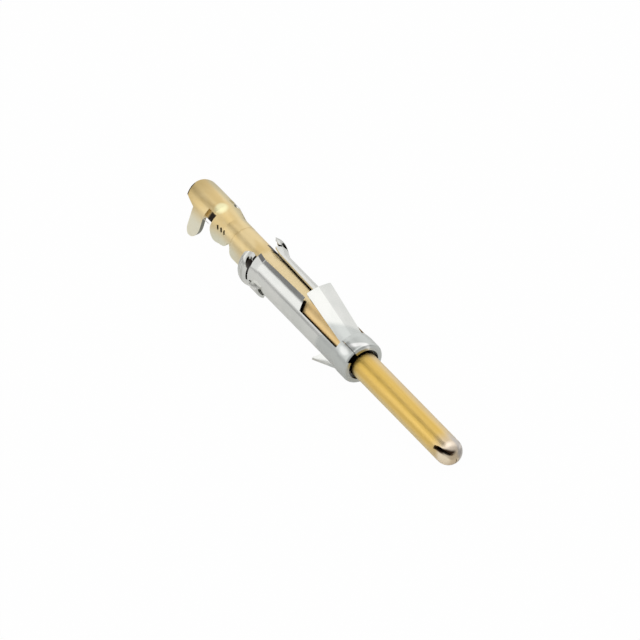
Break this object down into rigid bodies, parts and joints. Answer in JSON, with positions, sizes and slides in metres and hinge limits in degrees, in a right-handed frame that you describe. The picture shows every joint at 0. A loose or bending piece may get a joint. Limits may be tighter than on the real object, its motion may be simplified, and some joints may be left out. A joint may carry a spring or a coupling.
{
  "type": "crimp pin contact",
  "caption": "Stamped and rolled crimp pin contact with a hollow round pin, open wire barrels and a spring clip with locking tines.",
  "frame": {"origin": "on the pin's axis, just in front of the clip's rim, where the bare pin's full round wall begins", "axes": "+X along the axis towards the pin's tip, +Z through the crown of the upper tine, with the mouths of the wire barrels towards -Z"},
  "size_m": [0.0255, 0.0032, 0.0049],
  "materials": {
    "gold_plating": "plated, satin gloss",
    "spring_steel": "bright rolled strip"
  },
  "bodies": {
    "root": {"contact_body": "gold_plating", "retention_clip": "spring_steel"}
  },
  "joints": []
}
